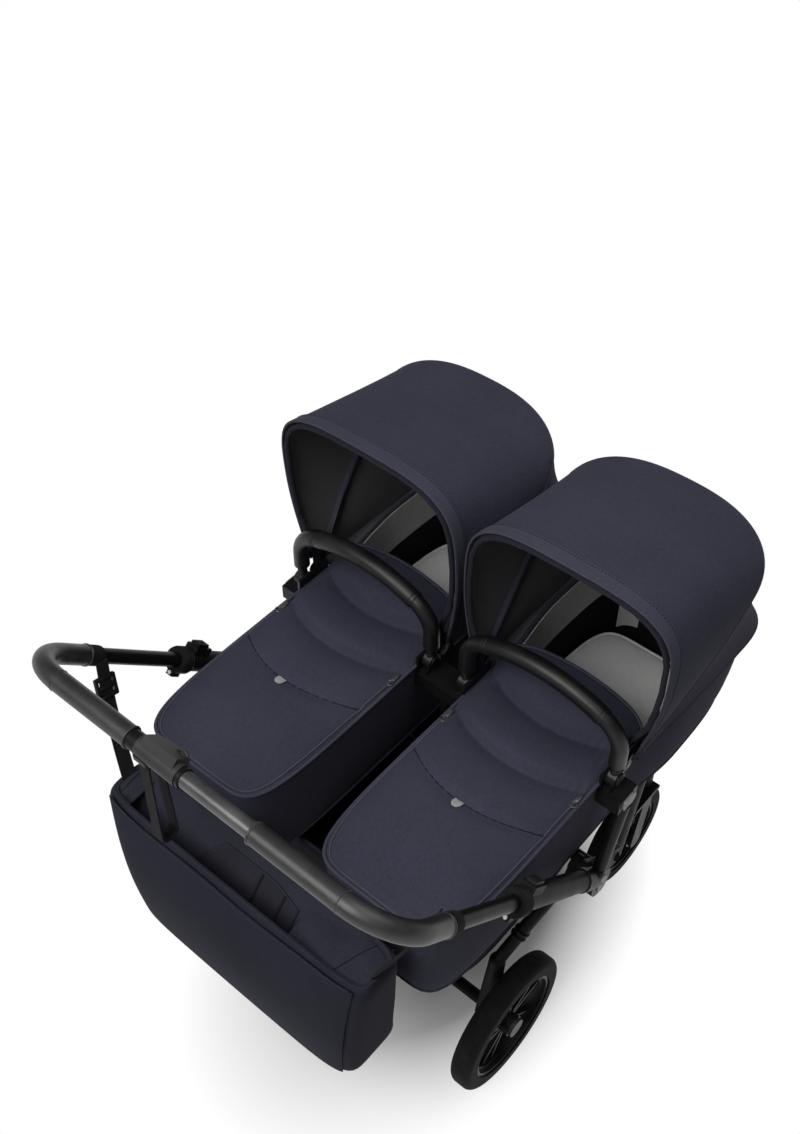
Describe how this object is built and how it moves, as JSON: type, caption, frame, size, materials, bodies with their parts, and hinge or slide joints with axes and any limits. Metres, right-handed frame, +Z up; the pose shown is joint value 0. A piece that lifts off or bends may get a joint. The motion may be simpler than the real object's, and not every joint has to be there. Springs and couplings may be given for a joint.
{
  "type": "side by side double stroller",
  "caption": "Side by side double stroller: folding black frame with swivel front wheels, two navy hooded carrycots, a sliding handlebar, hanging bag and basket.",
  "frame": {"origin": "on the floor under the middle of the stroller's box", "axes": "+Y the way it travels, +X the pusher's right, +Z up"},
  "size_m": [0.7802, 1.0811, 1.1126],
  "materials": {
    "frame": "satin",
    "plastic": "fine texture",
    "cap": "satin",
    "tyre": "matte foam rubber",
    "grip": "smooth stitched leather look",
    "fabric": "fine woven navy",
    "lining": "soft grey knit",
    "webbing": "ribbed webbing"
  },
  "bodies": {
    "upper_frame": {"main_hinge_left": "frame", "sleeve_left": "frame", "adaptor_left": "plastic", "main_hinge_right": "frame", "sleeve_right": "frame", "adaptor_right": "plastic", "centre_adaptor": "plastic", "seat_beam": "frame", "basket": "fabric"},
    "rear_legs": {"rear_leg_left": "frame", "rear_leg_right": "frame", "rear_crossbar": "frame"},
    "front_legs": {"front_leg_left": "frame", "front_leg_right": "frame", "front_crossbar": "frame"},
    "brake_pedal": {"brake_pedal": "plastic"},
    "handlebar": {"handlebar_tube": "frame", "grip_left": "grip", "grip_right": "grip", "width_clamp": "plastic", "wrist_strap": "webbing", "bag_shell": "fabric", "bag_pocket": "fabric", "bag_strap_left": "webbing", "bag_strap_right": "webbing"},
    "thumb_lever_left": {"thumb_lever_left": "plastic"},
    "release_cap_left": {"release_cap_left": "cap"},
    "rear_wheel_left": {"rear_tyre_left": "tyre", "rear_rim_left": "plastic", "rear_hubcap_left": "plastic"},
    "caster_left": {"caster_fork_left": "plastic"},
    "front_wheel_left": {"front_tyre_left": "tyre", "front_rim_left": "plastic"},
    "carrycot_left": {"cot_shell_left": "fabric", "mattress_left": "lining", "apron_left": "fabric", "cot_brackets_left": "plastic", "hood_cover_left": "fabric"},
    "carry_handle_left": {"carry_handle_left": "plastic", "handle_grip_left": "grip"},
    "hood_bow_left": {"hood_bow_left": "plastic"},
    "hood_rib_left": {"hood_rib_left": "plastic"},
    "thumb_lever_right": {"thumb_lever_right": "plastic"},
    "release_cap_right": {"release_cap_right": "cap"},
    "rear_wheel_right": {"rear_tyre_right": "tyre", "rear_rim_right": "plastic", "rear_hubcap_right": "plastic"},
    "caster_right": {"caster_fork_right": "plastic"},
    "front_wheel_right": {"front_tyre_right": "tyre", "front_rim_right": "plastic"},
    "carrycot_right": {"cot_shell_right": "fabric", "mattress_right": "lining", "apron_right": "fabric", "cot_brackets_right": "plastic", "hood_cover_right": "fabric"},
    "carry_handle_right": {"carry_handle_right": "plastic", "handle_grip_right": "grip"},
    "hood_bow_right": {"hood_bow_right": "plastic"},
    "hood_rib_right": {"hood_rib_right": "plastic"}
  },
  "joints": [
    {"name": "rear_legs_fold", "type": "hinge", "parent": "upper_frame", "child": "rear_legs", "pos_m": [0, -0.012, 0.52], "axis": [1, 0, 0], "range_deg": [0, 25]},
    {"name": "front_legs_fold", "type": "hinge", "parent": "upper_frame", "child": "front_legs", "pos_m": [0, -0.012, 0.52], "axis": [1, 0, 0], "range_deg": [-25, 0]},
    {"name": "handlebar_slide", "type": "slide", "parent": "upper_frame", "child": "handlebar", "axis": [0, -0.7193, 0.6947], "range_m": [-0.025, 0.06]},
    {"name": "brake_pedal_tip", "type": "hinge", "parent": "rear_legs", "child": "brake_pedal", "pos_m": [0.12, -0.152, 0.15], "axis": [1, 0, 0], "range_deg": [0, 18]},
    {"name": "thumb_lever_left_press", "type": "slide", "parent": "upper_frame", "child": "thumb_lever_left", "axis": [0, -0.6947, -0.7193], "range_m": [0, 0.003], "stiffness_N_per_m": 800},
    {"name": "release_cap_left_press", "type": "slide", "parent": "upper_frame", "child": "release_cap_left", "axis": [1, 0, 0], "range_m": [0, 0.0025], "stiffness_N_per_m": 1000},
    {"name": "rear_wheel_left_roll", "type": "hinge", "parent": "rear_legs", "child": "rear_wheel_left", "pos_m": [-0.308, -0.152, 0.142], "axis": [1, 0, 0], "continuous": true},
    {"name": "caster_left_swivel", "type": "hinge", "parent": "front_legs", "child": "caster_left", "pos_m": [-0.24, 0.39, 0.27], "axis": [0, 0, 1], "continuous": true},
    {"name": "front_wheel_left_roll", "type": "hinge", "parent": "caster_left", "child": "front_wheel_left", "pos_m": [-0.24, 0.345, 0.118], "axis": [1, 0, 0], "continuous": true},
    {"name": "carrycot_left_lift", "type": "slide", "parent": "upper_frame", "child": "carrycot_left", "axis": [0, 0, 1], "range_m": [0, 0.25]},
    {"name": "carry_handle_left_tip", "type": "hinge", "parent": "carrycot_left", "child": "carry_handle_left", "pos_m": [-0.19, 0.038, 0.738], "axis": [1, 0, 0], "range_deg": [0, 60]},
    {"name": "hood_left_fold", "type": "hinge", "parent": "carrycot_left", "child": "hood_bow_left", "pos_m": [-0.19, 0.071, 0.738], "axis": [1, 0, 0], "range_deg": [-60, 0], "deforming": ["hood_cover_left"]},
    {"name": "hood_rib_left_fold", "type": "hinge", "parent": "carrycot_left", "child": "hood_rib_left", "pos_m": [-0.19, 0.071, 0.738], "axis": [1, 0, 0], "range_deg": [-30, 0]},
    {"name": "thumb_lever_right_press", "type": "slide", "parent": "upper_frame", "child": "thumb_lever_right", "axis": [0, -0.6947, -0.7193], "range_m": [0, 0.003], "stiffness_N_per_m": 800},
    {"name": "release_cap_right_press", "type": "slide", "parent": "upper_frame", "child": "release_cap_right", "axis": [-1, 0, 0], "range_m": [0, 0.0025], "stiffness_N_per_m": 1000},
    {"name": "rear_wheel_right_roll", "type": "hinge", "parent": "rear_legs", "child": "rear_wheel_right", "pos_m": [0.308, -0.152, 0.142], "axis": [1, 0, 0], "continuous": true},
    {"name": "caster_right_swivel", "type": "hinge", "parent": "front_legs", "child": "caster_right", "pos_m": [0.24, 0.39, 0.27], "axis": [0, 0, 1], "continuous": true},
    {"name": "front_wheel_right_roll", "type": "hinge", "parent": "caster_right", "child": "front_wheel_right", "pos_m": [0.24, 0.345, 0.118], "axis": [1, 0, 0], "continuous": true},
    {"name": "carrycot_right_lift", "type": "slide", "parent": "upper_frame", "child": "carrycot_right", "axis": [0, 0, 1], "range_m": [0, 0.25]},
    {"name": "carry_handle_right_tip", "type": "hinge", "parent": "carrycot_right", "child": "carry_handle_right", "pos_m": [0.19, 0.038, 0.738], "axis": [1, 0, 0], "range_deg": [0, 60]},
    {"name": "hood_right_fold", "type": "hinge", "parent": "carrycot_right", "child": "hood_bow_right", "pos_m": [0.19, 0.071, 0.738], "axis": [1, 0, 0], "range_deg": [-60, 0], "deforming": ["hood_cover_right"]},
    {"name": "hood_rib_right_fold", "type": "hinge", "parent": "carrycot_right", "child": "hood_rib_right", "pos_m": [0.19, 0.071, 0.738], "axis": [1, 0, 0], "range_deg": [-30, 0]}
  ],
  "couplings": [
    {"joint": "front_legs_fold", "follows": "rear_legs_fold", "ratio": -1},
    {"joint": "hood_rib_left_fold", "follows": "hood_left_fold", "ratio": 0.5},
    {"joint": "hood_rib_right_fold", "follows": "hood_right_fold", "ratio": 0.5}
  ]
}
